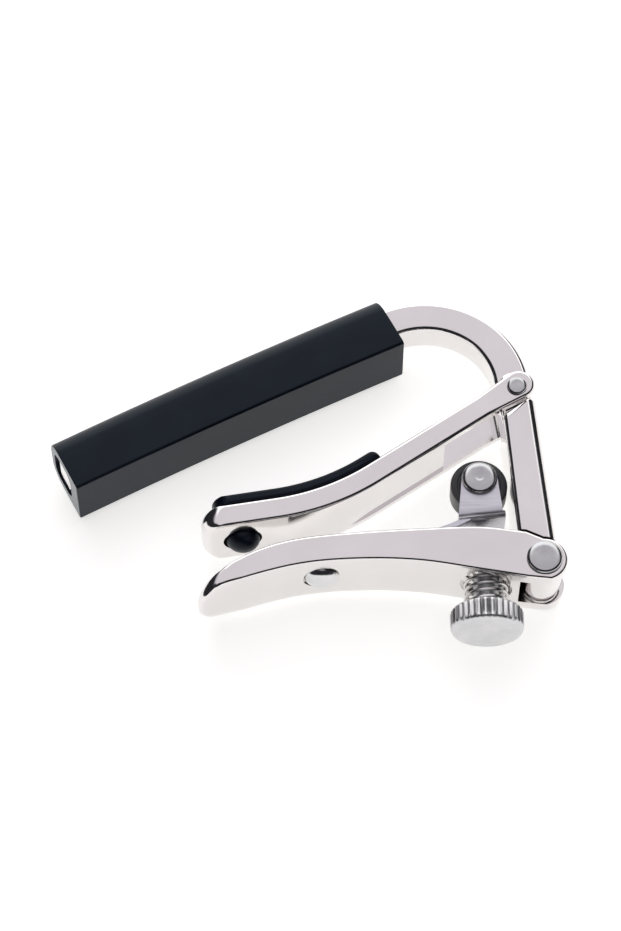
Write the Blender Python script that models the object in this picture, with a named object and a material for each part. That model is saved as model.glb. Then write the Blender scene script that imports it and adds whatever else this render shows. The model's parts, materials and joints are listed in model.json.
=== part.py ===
"""Guitar capo with a roller lever, lying on its side.

The side view is drawn with the closed lever level: its pivot is at (0, 0), u runs to the right, v
towards the strings, and z across the width of the capo. A root empty then turns the whole drawing so
that the string sleeve lies along X, and stands it on the origin. Lengths are in millimetres until a
mesh is made.
"""

import math

import bmesh
import bpy
from mathutils import Matrix, Vector

MM = 0.001
SLEEVE_TILT = math.radians(27.4)  # the sleeve's slope while the closed lever is level

# Pivots and axes
ARM_PIVOT = (-3.18, 30.16)
WHEEL_AXLE = (-9.35, 14.6)
SCREW_U = -8.65
BRACKET_RIVET_U = -33.6
BRACKET_FLEX_V = 2.6

# Widths across the capo, each side of the middle
CAPO_HALF = 5.55
BAR_HALF = 3.0
ARM_TONGUE_HALF = 3.7
ARM_SLOT_HALF = 4.0
LEVER_SLOT_HALF = 3.25
BRACKET_HALF = 3.85
LEAF_HALF = 3.1
CHANNEL_HALF = 4.2
WHEEL_HALF = 1.95

# Frame bar: bar inside the sleeve, bend, upright and the rounded foot at the lever pivot
UPRIGHT_FOOT_U = -0.4
UPRIGHT_LEAN = math.radians(5.5)
UPRIGHT_THICK = 5.6
BEND_OUTER = (-17.16, 31.14, 16.3)  # centre and radius
BEND_INNER = (-17.08, 31.92, 10.6)
CORE_NARROWER = 0.5  # the even-width core hides inside the wider upright
FRAME_FILLET = 0.85
FOOT_RADIUS = 2.95
SHOULDER_FROM_PIVOT = 2.6
SHOULDER_CORNER = 1.3
SHOULDER_ENDS = (-4.85, 1.6)  # along the arm, from its pivot
EYE_CLEARANCE = 3.9
UPRIGHT_FRONT = [(-2.05, 4.9), (-3.75, 5.4)]  # runs along the closed lever's top

# String sleeve: its cross-section has a flat string face and a rounded back
SLEEVE_CORNER = (-20.62, 38.74)  # string-side corner of the end nearest the bend
SLEEVE_LENGTH = 57.0
SLEEVE_WIDTH = 9.95
SLEEVE_DEPTH = 9.9
SLEEVE_BACK_RADIUS = 3.2
SLEEVE_FRONT_RADIUS = 0.35
SLEEVE_CROWN = 0.12
BORE_FROM_FACE = 2.55
BORE_TO = 8.35
BORE_HALF = 3.2
BORE_CORNER = 0.7
BAR_END_SETBACK = 0.25
BAR_DEPTHS = (3.0, 7.9)  # the bar's two faces inside the sleeve, behind the string face

# Neck arm and pad
ARM_SLOPE = math.radians(35.0)
ARM_TIP_SLOPE = math.radians(9.6)
ARM_KNEE = (-32.36, 10.16)  # where the two straight stretches would meet
ARM_BEND_RADIUS = 36.0
ARM_TIP_U = -50.3
ARM_THICK = 3.6
ARM_EYE = (-2.78, 30.8, 2.4)  # centre and radius of the rounded pivot end
ARM_FILLET = 0.6
ARM_TIP_PLAN = 3.3  # rounding of the tip's corners, seen from above
TIP_ZONE = 7.0
ARM_SLOT_REACH = 14.6
ARM_ROOT_SETBACK = 3.0  # the middle line starts this far before the pivot
TRACK_DEPTH = 0.35
PAD_THICK = 1.6
PAD_HALF = 5.35
PAD_GAP = 0.12
PAD_TIP_U = -51.2
PAD_ROOT_U = -24.6
PAD_BEVEL = 1.0
PAD_FILLET = 0.5
BUTTON_U = -45.7
BUTTON_RADIUS = 2.65
BUTTON_HOLE = 2.95

# Lever
LEVER_EYE = 3.55
LEVER_FILLET = 0.55
LEVER_TIP_PLAN = 4.6
LEVER_TIP_SLOPE = math.radians(40.0)
LEVER_TOP = [(-2.6, 4.75), (-9.6, 5.6), (-18.7, 5.26), (-27.9, 4.65), (-36.9, 3.6), (-43.1, 1.75),
             (-47.7, -0.9), (-52.5, -4.9)]
LEVER_FRONT = [(-52.1, -6.4), (-45.75, -3.45), (-36.8, -0.93), (-27.9, -0.08), (-18.85, -0.34),
               (-9.9, -1.8), (-2.6, -3.05)]
CHANNEL_FLOOR = 1.8
CHANNEL_ENDS = (-37.2, -5.6)
COUNTERBORE_RADIUS = 3.95
COUNTERBORE_FLOOR = -0.7
SPOT_FACE = -0.35  # seat of the bracket rivet's head

# Roller bracket: one strip of sheet bent into a fork and a long leaf
SHEET = 1.0
FORK_SLOPE = math.radians(8.0)
FORK_ENDS = (-12.6, -5.4)
FORK_BASE_V = 8.1  # underside of the fork below the axle
FORK_TOP_RADIUS = 2.75
LEAF_TOP = [(-11.2, 8.75), (-14.0, 7.3), (-17.2, 6.15), (-21.7, 5.35), (-27.0, 4.15), (-31.5, 3.15),
            (-36.4, 3.1)]
LEAF_TIP_V = 3.3  # the clinched head rests on the leaf here

# Roller wheel, screw, spring and rivets
WHEEL_RADIUS = 4.4
WHEEL_CHAMFER = 0.3
KNOB_RADIUS = 5.6
KNOB_BACK = -6.45
KNOB_FRONT = -9.85
KNOB_FLUTES = 36
FLUTE_DEPTH = 0.28
THREAD_RADIUS = 1.95
SCREW_TIP = 7.55
SPRING_RADIUS = 3.2
SPRING_WIRE = 0.26
SPRING_TURNS = 4.2
FIT_GAP = 0.15
LARGE_SHANK = 1.6
SMALL_SHANK = 1.0
LARGE_HEAD = 2.7
SMALL_HEAD = 1.53

NICKEL = ((0.82, 0.80, 0.79), 1.0, 0.12)
STAINLESS = ((0.62, 0.61, 0.64), 1.0, 0.32)
STEEL = ((0.66, 0.66, 0.67), 1.0, 0.28)
RUBBER = ((0.012, 0.014, 0.020), 0.0, 0.55)
ACETAL = ((0.010, 0.011, 0.014), 0.0, 0.35)


# ---------------------------------------------------------------- outlines

def arc(centre, radius, start, end, steps):
    """Points on a circle from one angle to the other, in degrees."""
    angles = [math.radians(start + (end - start) * i / steps) for i in range(steps + 1)]
    return [(centre[0] + radius * math.cos(a), centre[1] + radius * math.sin(a)) for a in angles]


def rounded(corners, steps=5):
    """A closed outline through (u, v, radius) corners, each corner turned to an arc."""
    outline = []
    for i, (u, v, radius) in enumerate(corners):
        if radius == 0:
            outline.append((u, v))
            continue
        here = Vector((u, v))
        back = (Vector(corners[i - 1][:2]) - here).normalized()
        ahead = (Vector(corners[(i + 1) % len(corners)][:2]) - here).normalized()
        half = back.angle(ahead) / 2
        centre = here + (back + ahead).normalized() * radius / math.sin(half)
        spokes = [here + side * radius / math.tan(half) - centre for side in (back, ahead)]
        start, end = [math.degrees(math.atan2(spoke.y, spoke.x)) for spoke in spokes]
        end = start + (end - start + 180) % 360 - 180
        outline += arc(centre, radius, start, end, steps)
    return outline


def spline(points, steps=4):
    """A smooth open curve through every point."""
    knots = [Vector(p) for p in points]
    knots.insert(0, 2 * knots[0] - knots[1])
    knots.append(2 * knots[-1] - knots[-2])
    curve = [tuple(points[0])]
    for a, b, c, d in zip(knots, knots[1:], knots[2:], knots[3:]):
        for step in range(1, steps + 1):
            t = step / steps
            near = 2 * b + (c - a) * t
            far = (2 * a - 5 * b + 4 * c - d) * t**2 + (3 * b - a - 3 * c + d) * t**3
            curve.append(tuple((near + far) / 2))
    return curve


def offset(outline, distance, closed=True):
    """A line moved to its left by a distance: inwards, where it is counter-clockwise and closed."""
    moved = []
    for i, point in enumerate(outline):
        here = Vector(point)
        before = here - Vector(outline[i - 1])
        after = Vector(outline[(i + 1) % len(outline)]) - here
        if not closed and i == 0:
            before = after
        if not closed and i == len(outline) - 1:
            after = before
        before.normalize()
        after.normalize()
        left = Vector((-before.y - after.y, before.x + after.x)).normalized()
        stretch = max(left.dot(Vector((-before.y, before.x))), 0.5)
        moved.append(tuple(here + left * distance / stretch))
    return moved


def clipped(line, low, high):
    """The stretch of a line, drawn from right to left, between two u positions."""
    ends = []
    for edge in (high, low):
        for a, b in zip(line, line[1:]):
            if a[0] >= edge > b[0]:
                ends.append(tuple(Vector(a).lerp(Vector(b), (a[0] - edge) / (a[0] - b[0]))))
    return [ends[0]] + [p for p in line if low < p[0] < high] + [ends[1]]


def fillet_levels(half, radius, steps=3):
    """(z, inset) pairs that round a slab's rim, from its lower face to its upper face."""
    turns = [math.pi / 2 * step / steps for step in range(steps + 1)]
    lower = [(radius * (1 - math.cos(a)) - half, radius * (1 - math.sin(a))) for a in turns]
    return lower + [(-z, depth) for z, depth in reversed(lower)]


# ---------------------------------------------------------------- meshes and objects

def material(name, finish):
    colour, metallic, roughness = finish
    made = bpy.data.materials.new(name)
    made.use_nodes = True
    shader = made.node_tree.nodes["Principled BSDF"]
    shader.inputs["Base Color"].default_value = (*colour, 1.0)
    shader.inputs["Metallic"].default_value = metallic
    shader.inputs["Roughness"].default_value = roughness
    return made


def add_object(name, bm, root, finish=None, pivot=(0, 0, 0), sharp=30):
    """Turn a bmesh drawn in millimetres into an object whose origin is the pivot."""
    bm.transform(Matrix.Scale(MM, 4) @ Matrix.Translation(-Vector(pivot)))
    bmesh.ops.recalc_face_normals(bm, faces=bm.faces)
    mesh = bpy.data.meshes.new(name)
    bm.to_mesh(mesh)
    bm.free()
    mesh.shade_smooth()
    mesh.set_sharp_from_angle(angle=math.radians(sharp))
    piece = bpy.data.objects.new(name, mesh)
    piece.location = Vector(pivot) * MM
    piece.parent = root
    if finish:
        mesh.materials.append(material(name, finish))
    bpy.context.scene.collection.objects.link(piece)
    return piece


def loft(rings, capped=True):
    """A bmesh skinned over rings of points; the ends are closed by flat faces or by each other."""
    bm = bmesh.new()
    loops = [[bm.verts.new(point) for point in ring] for ring in rings]
    if not capped:
        loops.append(loops[0])
    for low, high in zip(loops, loops[1:]):
        for i in range(len(low)):
            bm.faces.new((low[i - 1], low[i], high[i], high[i - 1]))
    if capped:
        bm.faces.new(loops[0])
        bm.faces.new(loops[-1])
    return bm


def slab(outline, levels, shape=None):
    """A plate with its outline in u and v; shape may move the points of each level."""
    rings = []
    for z, depth in levels:
        points = [(u, v, z) for u, v in offset(outline, depth)]
        rings.append([shape(*p) for p in points] if shape else points)
    return loft(rings)


def turned(profile, steps, pole=False):
    """A bmesh turned about Z from (radius, z) points: a ring, or a solid whose ends are on the axis."""
    angles = [2 * math.pi * i / steps for i in range(steps)]
    rings = [[(r * math.cos(a), r * math.sin(a), z) for a in angles] for r, z in profile]
    return loft(rings, capped=pole)


def along_v(bm, u, v=0.0):
    """Lay a mesh that was turned about Z along the v direction."""
    bm.transform(Matrix.Translation((u, v, 0)) @ Matrix.Rotation(-math.pi / 2, 4, "X"))
    return bm


def modify(target, tool, operation):
    """Cut, join or trim with a tool object, which stays hidden."""
    tool.hide_render = True
    tool.display_type = "WIRE"
    change = target.modifiers.new(f"{operation.lower()} {tool.name}", "BOOLEAN")
    change.operation = operation
    change.object = tool
    change.solver = "EXACT"


def cut_round(target, root, centre, radius, reach=20.0):
    """A round hole across the capo."""
    bm = turned([(radius, -reach), (radius, reach)], 32, pole=True)
    bm.transform(Matrix.Translation((*centre, 0)))
    modify(target, add_object(f"cut_{target.name}_{len(target.modifiers)}", bm, root), "DIFFERENCE")


def cut_slab(target, root, outline, half):
    """A straight-sided opening drawn in the side view."""
    bm = loft([[(u, v, z) for u, v in outline] for z in (-half, half)])
    modify(target, add_object(f"cut_{target.name}_{len(target.modifiers)}", bm, root), "DIFFERENCE")


def cut_along_v(target, root, u, radius, low, high):
    """A round hole through the thickness, drilled along v."""
    bm = along_v(turned([(radius, low), (radius, high)], 36, pole=True), u)
    modify(target, add_object(f"cut_{target.name}_{len(target.modifiers)}", bm, root), "DIFFERENCE")


def rivet_profile(shank, head, inner_face, outer_face):
    """Half of a rivet with a turned flat head and a bevelled rim, from its middle outwards."""
    rise = outer_face - inner_face
    return [(shank, inner_face), (head, inner_face), (head, inner_face + 0.25 * rise),
            (head - 0.18 * rise, inner_face + 0.6 * rise), (0.72 * head, outer_face - 0.04 * rise),
            (0.66 * head, outer_face)]


def cross_rivet(name, root, centre, shank, head, half, proud):
    """A rivet across the capo, with a head standing proud of a plate's two faces."""
    upper = rivet_profile(shank, head, half + FIT_GAP, half + proud)
    lower = [(r, -z) for r, z in reversed(upper)]
    bm = turned(lower + upper, 32, pole=True)
    bm.transform(Matrix.Translation((*centre, 0)))
    return add_object(name, bm, root, STEEL, (*centre, 0))


# ---------------------------------------------------------------- layout helpers

def upright(v, side, thick=UPRIGHT_THICK):
    """A point on the upright's left (-1) or right (+1) wall, at a height above the lever pivot."""
    middle = UPRIGHT_FOOT_U - v * math.tan(UPRIGHT_LEAN)
    return (middle + side * thick / 2 / math.cos(UPRIGHT_LEAN), v)


def sleeve_point(along, depth):
    """A point in the side view, from the sleeve's corner: along the sleeve and behind its string face."""
    back = Vector((-math.cos(SLEEVE_TILT), -math.sin(SLEEVE_TILT)))
    outwards = Vector((-math.sin(SLEEVE_TILT), math.cos(SLEEVE_TILT)))
    return tuple(Vector(SLEEVE_CORNER) + along * back + depth * outwards)


def arm_line(steps=9):
    """The middle line of the neck arm, from its pivot end to its tip."""
    turn = (ARM_SLOPE - ARM_TIP_SLOPE) / 2
    reach = ARM_BEND_RADIUS * math.tan(turn)
    knee = Vector(ARM_KNEE)
    root_way = Vector((math.cos(ARM_SLOPE), math.sin(ARM_SLOPE)))
    centre = knee + root_way * reach + Vector((-root_way.y, root_way.x)) * ARM_BEND_RADIUS
    bend = arc(centre, ARM_BEND_RADIUS, math.degrees(ARM_SLOPE) - 90, math.degrees(ARM_TIP_SLOPE) - 90, steps)
    root = knee + root_way * (ARM_PIVOT[0] - ARM_ROOT_SETBACK - knee.x) / root_way.x
    from_root = [tuple(root.lerp(Vector(bend[0]), i / 4)) for i in range(4)]
    last = Vector(bend[-1])
    tip = Vector((ARM_TIP_U, last.y - (last.x - ARM_TIP_U) * math.tan(ARM_TIP_SLOPE)))
    return from_root + bend + [tuple(last.lerp(tip, i / 4)) for i in range(1, 5)]


def tip_squeeze(tip_u, zone, slope, plan_radius, half):
    """Round the corners of a tip, seen from above, by drawing its outer levels in along its slope."""
    def shape(u, v, z):
        beyond = max(abs(z) - (half - plan_radius), 0.0) / plan_radius
        drawn_in = plan_radius * (1 - math.sqrt(max(1 - beyond**2, 0.0)))
        share = min(max((tip_u + zone - u) / zone, 0.0), 1.0) ** 1.5
        return (u + drawn_in * share, v + drawn_in * share * math.tan(slope), z)
    return shape


def rim_levels(half, fillet, plan_radius, steps=4):
    """Levels for a plate that has a rounded rim and a tip that is rounded in plan."""
    levels = fillet_levels(half, fillet)
    inner = half - plan_radius
    extra = [inner + (half - fillet - inner) * s / steps for s in range(steps)]
    between = [(-z, 0.0) for z in reversed(extra)] + [(z, 0.0) for z in extra]
    middle = len(levels) // 2
    return levels[:middle] + between + levels[middle:]


# ---------------------------------------------------------------- pieces

def make_frame_bar(root):
    """One bent bar: a core of even width, the wider upright with its shoulders, and the arm's tongue."""
    lean = math.degrees(UPRIGHT_LEAN)
    bend_end = 90 + math.degrees(SLEEVE_TILT)
    core_thick = UPRIGHT_THICK - CORE_NARROWER
    bar_end = SLEEVE_LENGTH - BAR_END_SETBACK
    near, far = BAR_DEPTHS
    outline = arc((0, 0), FOOT_RADIUS, 200, 350, 10)
    outline += [upright(6.0, 1, core_thick), upright(25.0, 1, core_thick)]
    outline += arc(BEND_OUTER[:2], BEND_OUTER[2], lean, bend_end, 20)
    outline += [sleeve_point(bar_end - 1.0, far), sleeve_point(bar_end, far - 1.0)]
    outline += [sleeve_point(bar_end, near + 1.0), sleeve_point(bar_end - 1.0, near)]
    outline += arc(BEND_INNER[:2], BEND_INNER[2], bend_end, lean, 20)
    outline += [upright(25.0, -1, core_thick), upright(7.0, -1, core_thick), (-FOOT_RADIUS, 5.6)]
    bar = add_object("frame_bar", slab(outline, fillet_levels(BAR_HALF, FRAME_FILLET)), root, NICKEL)

    along = Vector((math.cos(ARM_SLOPE), math.sin(ARM_SLOPE)))
    stop = Vector(ARM_PIVOT) + SHOULDER_FROM_PIVOT * Vector((along.y, -along.x))
    left, right = [stop + along * end for end in SHOULDER_ENDS]
    front = rounded([(*upright(3.9, 1), 0), (*right, 0.7), (*left, SHOULDER_CORNER)])
    front += [UPRIGHT_FRONT[1], UPRIGHT_FRONT[0]]
    front += arc((0, 0), EYE_CLEARANCE, 97, 63, 4)
    block = add_object("join_upright", slab(front, fillet_levels(CAPO_HALF, FRAME_FILLET)), root)
    modify(bar, block, "UNION")

    tongue = rounded([(*upright(25.5, -1, 5.0), 1.0), (*upright(25.5, 1, 5.0), 1.0),
                      (*upright(34.0, 1, 4.4), 2.1), (*upright(34.0, -1, 4.4), 2.1)])
    plate = add_object("join_tongue", slab(tongue, fillet_levels(ARM_TONGUE_HALF, 0.6)), root)
    modify(bar, plate, "UNION")
    cut_round(bar, root, ARM_PIVOT, SMALL_SHANK + FIT_GAP)
    cut_round(bar, root, (0, 0), LARGE_SHANK + FIT_GAP)


def make_string_sleeve(root):
    """A rubber sleeve pushed over the bar, open at both ends."""
    half = SLEEVE_WIDTH / 2
    crown = half + SLEEVE_CROWN
    front = SLEEVE_FRONT_RADIUS
    back = SLEEVE_BACK_RADIUS
    section = rounded([(0, -half, front), (SLEEVE_DEPTH / 2, -crown, 0), (SLEEVE_DEPTH, -half, back),
                       (SLEEVE_DEPTH, half, back), (SLEEVE_DEPTH / 2, crown, 0), (0, half, front)])
    bore = rounded([(BORE_FROM_FACE, -BORE_HALF, BORE_CORNER), (BORE_TO, -BORE_HALF, BORE_CORNER),
                    (BORE_TO, BORE_HALF, BORE_CORNER), (BORE_FROM_FACE, BORE_HALF, BORE_CORNER)], 3)
    shells = []
    for outline, reach in ((section, 0.0), (bore, 2.0)):
        rings = [[(*sleeve_point(along, depth), z) for depth, z in outline]
                 for along in (-reach, SLEEVE_LENGTH + reach)]
        shells.append(loft(rings))
    centre = (*sleeve_point(0, SLEEVE_DEPTH / 2), 0)
    sleeve = add_object("string_sleeve", shells[0], root, RUBBER, centre)
    modify(sleeve, add_object("cut_sleeve_bore", shells[1], root), "DIFFERENCE")


def make_neck_arm(root):
    """The lower jaw: a forked flat bar with a roller track underneath and a rounded tip."""
    middle = arm_line()
    lower = offset(middle, ARM_THICK / 2, closed=False)
    upper = offset(middle, -ARM_THICK / 2, closed=False)
    slope = math.degrees(ARM_SLOPE)
    tip_slope = math.degrees(ARM_TIP_SLOPE)
    eye = arc(ARM_EYE[:2], ARM_EYE[2], slope - 90, slope + 90, 10)
    tip = arc(middle[-1], ARM_THICK / 2, 90 + tip_slope, 270 + tip_slope, 6)
    outline = lower[-2:0:-1] + eye + upper[1:-1] + tip
    shape = tip_squeeze(ARM_TIP_U - ARM_THICK / 2, TIP_ZONE, ARM_TIP_SLOPE, ARM_TIP_PLAN, CAPO_HALF)
    bm = slab(outline, rim_levels(CAPO_HALF, ARM_FILLET, ARM_TIP_PLAN), shape)
    arm = add_object("neck_arm", bm, root, NICKEL, (*ARM_PIVOT, 0))

    along = Vector((math.cos(ARM_SLOPE), math.sin(ARM_SLOPE)))
    normal = Vector((-along.y, along.x))
    slot_end = Vector(ARM_PIVOT) - along * ARM_SLOT_REACH
    slot = [slot_end - normal * 8, slot_end + along * 24 - normal * 8,
            slot_end + along * 24 + normal * 8, slot_end + normal * 8]
    cut_slab(arm, root, slot, ARM_SLOT_HALF)
    under = Vector(lower[1])
    track = [under - along * 60 - normal * 6, under + along * 20 - normal * 6,
             under + along * 20 + normal * TRACK_DEPTH, under - along * 60 + normal * TRACK_DEPTH]
    cut_slab(arm, root, track, ARM_SLOT_HALF)
    cut_round(arm, root, ARM_PIVOT, SMALL_SHANK + FIT_GAP)
    cut_along_v(arm, root, BUTTON_U, BUTTON_HOLE, 0.0, 20.0)


def make_neck_pad(root):
    """A rubber pad along the arm's neck side, held by a button pushed through the arm."""
    line = offset(arm_line(), -ARM_THICK / 2 - PAD_GAP, closed=False)
    under = clipped(line, PAD_TIP_U + PAD_BEVEL, PAD_ROOT_U)
    over = offset(under, -PAD_THICK, closed=False)
    root_end = (under[0][0] + PAD_BEVEL, under[0][1] + 1.5 * PAD_BEVEL)
    shape = tip_squeeze(PAD_TIP_U, TIP_ZONE, ARM_TIP_SLOPE, ARM_TIP_PLAN, PAD_HALF)
    bm = slab(under[::-1] + [root_end] + over, rim_levels(PAD_HALF, PAD_FILLET, ARM_TIP_PLAN), shape)
    pad = add_object("neck_pad", bm, root, RUBBER, (*ARM_PIVOT, 0))
    button = [(0.5, 4.25), (1.4, 4.45), (2.2, 5.1), (BUTTON_RADIUS, 6.0), (BUTTON_RADIUS, 10.2)]
    stem = along_v(turned(button, 28, pole=True), BUTTON_U)
    modify(pad, add_object("join_button", stem, root), "UNION")


def make_lever(root):
    """The handle: forked at its pivot, hollowed on top for the bracket's leaf."""
    outline = spline(LEVER_FRONT) + arc((0, 0), LEVER_EYE, 285, 450, 14) + spline(LEVER_TOP)
    shape = tip_squeeze(LEVER_TOP[-1][0], TIP_ZONE, LEVER_TIP_SLOPE, LEVER_TIP_PLAN, CAPO_HALF)
    bm = slab(outline, rim_levels(CAPO_HALF, LEVER_FILLET, LEVER_TIP_PLAN), shape)
    lever = add_object("lever", bm, root, NICKEL)
    slot = [(-4.4, -8.0), (9.0, -8.0), (9.0, 9.0), (-3.3, 9.0), (-3.3, -0.5)]
    cut_slab(lever, root, slot, LEVER_SLOT_HALF)
    left, right = CHANNEL_ENDS
    channel = [(left, CHANNEL_FLOOR), (right, CHANNEL_FLOOR), (right, 9.0), (left, 9.0)]
    cut_slab(lever, root, channel, CHANNEL_HALF)
    cut_round(lever, root, (0, 0), LARGE_SHANK + FIT_GAP)
    cut_along_v(lever, root, SCREW_U, THREAD_RADIUS + FIT_GAP, -8.0, 3.0)
    cut_along_v(lever, root, SCREW_U, COUNTERBORE_RADIUS, -8.0, COUNTERBORE_FLOOR)
    cut_along_v(lever, root, BRACKET_RIVET_U, LARGE_SHANK + FIT_GAP, -4.0, 3.0)
    cut_along_v(lever, root, BRACKET_RIVET_U, LARGE_HEAD + 0.2, -4.0, SPOT_FACE)


def make_roller_bracket(root):
    """One strip of sheet: a leaf riveted in the lever, ending in a fork that holds the wheel."""
    outer = BRACKET_HALF
    inner = BRACKET_HALF - SHEET
    section = rounded([(-outer, 12.0, 0), (-outer, 0.0, 1.5), (outer, 0.0, 1.5), (outer, 12.0, 0),
                       (inner, 12.0, 0), (inner, SHEET, 0.5), (-inner, SHEET, 0.5), (-inner, 12.0, 0)], 4)
    along = Vector((math.cos(FORK_SLOPE), math.sin(FORK_SLOPE)))
    normal = Vector((-along.y, along.x))
    base = Vector((WHEEL_AXLE[0], FORK_BASE_V))
    rings = [[(*(base + along * reach + normal * height), z) for z, height in section]
             for reach in (-6.0, 6.0)]
    flex = (BRACKET_RIVET_U, BRACKET_FLEX_V, 0)
    bracket = add_object("roller_bracket", loft(rings), root, STAINLESS, flex, 35)

    left = base + along * (FORK_ENDS[0] - base.x)
    right = base + along * (FORK_ENDS[1] - base.x)
    top = Vector(WHEEL_AXLE)
    side = [(*(left - normal * 2), 0), (*(right - normal * 2), 0), (*(right + normal * 0.8), 0.3)]
    trim = rounded(side, 3) + arc(top, FORK_TOP_RADIUS, 10, 170, 10) + [tuple(left + normal * 0.8)]
    trimmer = add_object("trim_fork", loft([[(u, v, z) for u, v in trim] for z in (-9.0, 9.0)]), root)
    modify(bracket, trimmer, "INTERSECT")

    over = spline(LEAF_TOP, 4)
    under = offset(over, SHEET, closed=False)
    leaf = add_object("join_leaf", slab(over + under[::-1], fillet_levels(LEAF_HALF, 0.12, 1)), root)
    modify(bracket, leaf, "UNION")
    cut_round(bracket, root, WHEEL_AXLE, LARGE_SHANK + FIT_GAP)
    cut_along_v(bracket, root, BRACKET_RIVET_U, LARGE_SHANK + FIT_GAP, 0.0, 6.0)


def make_bracket_rivet(root):
    """Holds the leaf: domed head on the lever's front, clinched head on the leaf."""
    front = SPOT_FACE - FIT_GAP
    profile = [(0.5, front - 1.05), (1.4, front - 0.95), (2.2, front - 0.6), (LARGE_HEAD, front - 0.1),
               (LARGE_HEAD, front), (LARGE_SHANK, front), (LARGE_SHANK, LEAF_TIP_V), (2.3, LEAF_TIP_V),
               (2.3, LEAF_TIP_V + 0.25), (1.6, LEAF_TIP_V + 0.65)]
    bm = along_v(turned(profile, 32, pole=True), BRACKET_RIVET_U)
    add_object("bracket_rivet", bm, root, STEEL, (BRACKET_RIVET_U, BRACKET_FLEX_V, 0))


def make_roller_wheel(root):
    """A plain roller with chamfered rims."""
    bore = LARGE_SHANK + FIT_GAP
    half = WHEEL_HALF
    rim = half - WHEEL_CHAMFER
    face = WHEEL_RADIUS - WHEEL_CHAMFER
    profile = [(bore, -half), (face, -half), (WHEEL_RADIUS, -rim), (WHEEL_RADIUS, rim), (face, half),
               (bore, half)]
    bm = turned(profile, 48)
    bm.transform(Matrix.Translation((*WHEEL_AXLE, 0)))
    add_object("roller_wheel", bm, root, ACETAL, (*WHEEL_AXLE, 0))


def make_thumb_screw(root):
    """Knurled knob and threaded shank in one turned piece."""
    def ring(radius, v, share):
        points = []
        for i in range(KNOB_FLUTES * 4):
            turn = 2 * math.pi * i / (KNOB_FLUTES * 4)
            dip = FLUTE_DEPTH * share * (0.5 - 0.5 * math.cos(turn * KNOB_FLUTES)) ** 0.6
            points.append(((radius - dip) * math.cos(turn), (radius - dip) * math.sin(turn), v))
        return points

    rim = KNOB_RADIUS
    rings = [ring(rim - 0.9, KNOB_FRONT, 0), ring(rim - 0.35, KNOB_FRONT + 0.2, 0),
             ring(rim - 0.05, KNOB_FRONT + 0.65, 0), ring(rim, KNOB_FRONT + 0.95, 1),
             ring(rim, KNOB_BACK - 0.3, 1), ring(rim - 0.35, KNOB_BACK, 0)]
    knob = along_v(loft(rings), SCREW_U)
    screw = add_object("thumb_screw", knob, root, STEEL, (SCREW_U, 0, 0))
    shank = [(THREAD_RADIUS, KNOB_BACK - 1.5), (THREAD_RADIUS, SCREW_TIP - 0.7),
             (THREAD_RADIUS - 0.6, SCREW_TIP - 0.1), (0.6, SCREW_TIP)]
    stem = along_v(turned(shank, 32, pole=True), SCREW_U)
    modify(screw, add_object("join_shank", stem, root), "UNION")


def make_screw_spring(root):
    """A coil spring between the counterbore and the knob."""
    steps = round(SPRING_TURNS * 20)
    low = KNOB_BACK + SPRING_WIRE + FIT_GAP
    high = COUNTERBORE_FLOOR - SPRING_WIRE - FIT_GAP
    rise = Vector((0, 0, 1))
    section = [2 * math.pi * k / 8 for k in range(8)]
    rings = []
    for i in range(steps + 1):
        turn = 2 * math.pi * SPRING_TURNS * i / steps
        spoke = Vector((math.cos(turn), math.sin(turn), 0))
        middle = spoke * SPRING_RADIUS + rise * (low + (high - low) * i / steps)
        rings.append([middle + SPRING_WIRE * (spoke * math.cos(a) + rise * math.sin(a)) for a in section])
    add_object("screw_spring", along_v(loft(rings), SCREW_U), root, STEEL, (SCREW_U, 0, 0), 60)


def stand_on_origin(root):
    """Turn the drawing so the sleeve lies along X, then put the middle of the underside on the origin."""
    root.rotation_euler.z = -SLEEVE_TILT
    bpy.context.view_layer.update()
    shown = bpy.context.evaluated_depsgraph_get()
    points = []
    for piece in bpy.context.scene.objects:
        if piece.type == "MESH" and not piece.hide_render:
            solid = piece.evaluated_get(shown)
            points += [solid.matrix_world @ vertex.co for vertex in solid.data.vertices]
    low = [min(p[k] for p in points) for k in range(3)]
    high = [max(p[k] for p in points) for k in range(3)]
    root.location = (-(low[0] + high[0]) / 2, -(low[1] + high[1]) / 2, -low[2])


def main():
    for old in list(bpy.data.objects):
        bpy.data.objects.remove(old, do_unlink=True)
    root = bpy.data.objects.new("capo", None)
    bpy.context.scene.collection.objects.link(root)
    make_frame_bar(root)
    make_string_sleeve(root)
    make_neck_arm(root)
    make_neck_pad(root)
    make_lever(root)
    make_roller_bracket(root)
    make_bracket_rivet(root)
    make_roller_wheel(root)
    make_thumb_screw(root)
    make_screw_spring(root)
    cross_rivet("arm_pivot_rivet", root, ARM_PIVOT, SMALL_SHANK, SMALL_HEAD, CAPO_HALF, 0.65)
    cross_rivet("lever_pivot_rivet", root, (0, 0), LARGE_SHANK, LARGE_HEAD, CAPO_HALF, 0.85)
    cross_rivet("roller_axle_rivet", root, WHEEL_AXLE, LARGE_SHANK, LARGE_HEAD, BRACKET_HALF, 0.95)
    stand_on_origin(root)


main()
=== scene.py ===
"""Look of a nickel-plated guitar capo with a black rubber sleeve and pad, lying on its side.

The side view is drawn as in the CAD model: the lever pivot is at (0, 0), u runs to the right, v towards
the strings, z across the capo from its middle plane, in millimetres. The record's joints place it.
"""

import json
import math

import bmesh
import bpy
from mathutils import Matrix, Vector


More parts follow.
